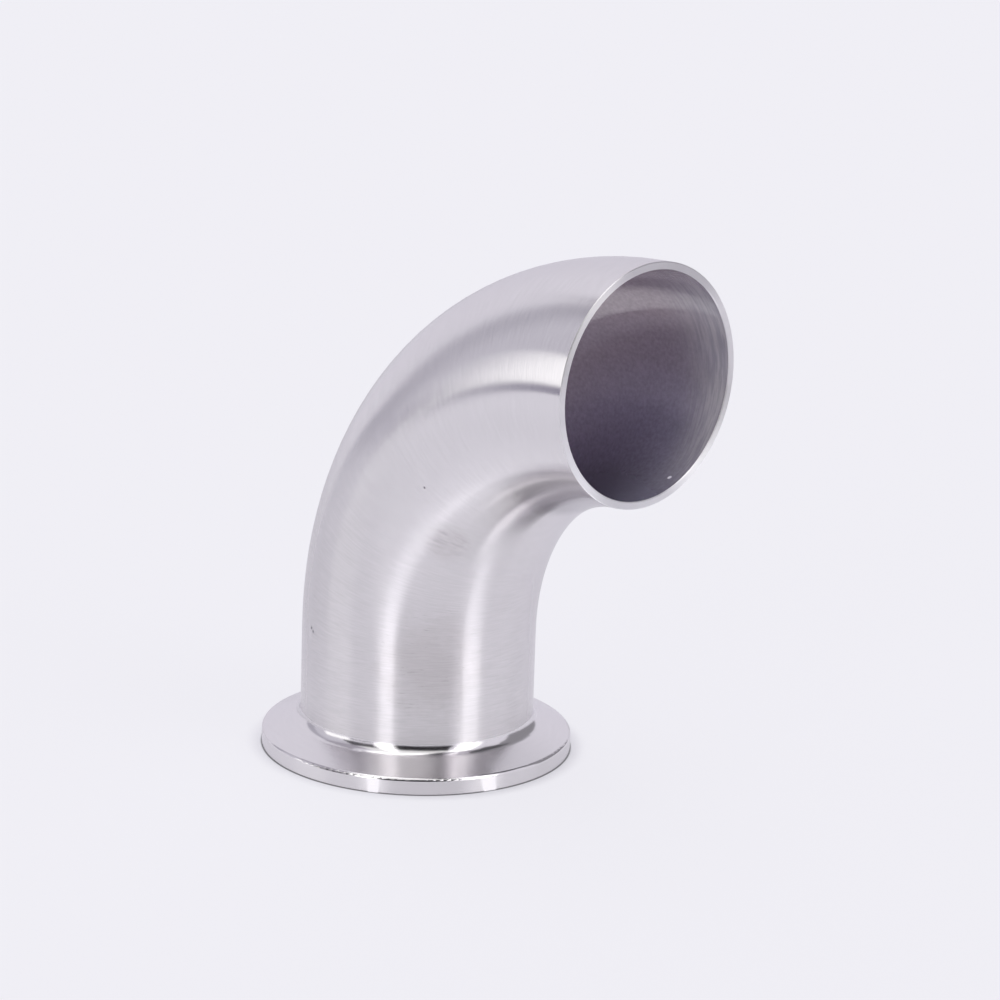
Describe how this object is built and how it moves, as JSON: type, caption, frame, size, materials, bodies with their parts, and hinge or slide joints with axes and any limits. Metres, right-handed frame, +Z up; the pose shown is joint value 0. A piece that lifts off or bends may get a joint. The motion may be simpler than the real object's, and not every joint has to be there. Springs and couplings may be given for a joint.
{
  "type": "ninety degree sanitary elbow",
  "caption": "Ninety degree stainless tube elbow with a grooved hygienic clamp ferrule on one end and a plain square weld end on the other.",
  "frame": {"origin": "centre of the clamp ferrule's gasket face", "axes": "+Z up the ferrule's axis, away from the gasket face; +X the way the weld end faces; the bend lies in the XZ plane"},
  "size_m": [0.0738, 0.0504, 0.089],
  "materials": {
    "ferrule_steel": "turned and polished stainless steel, neck brushed round",
    "tube_steel": "satin stainless steel, brushed round the tube"
  },
  "bodies": {
    "root": {"clamp_ferrule": "ferrule_steel", "bent_tube": "tube_steel"}
  },
  "joints": []
}
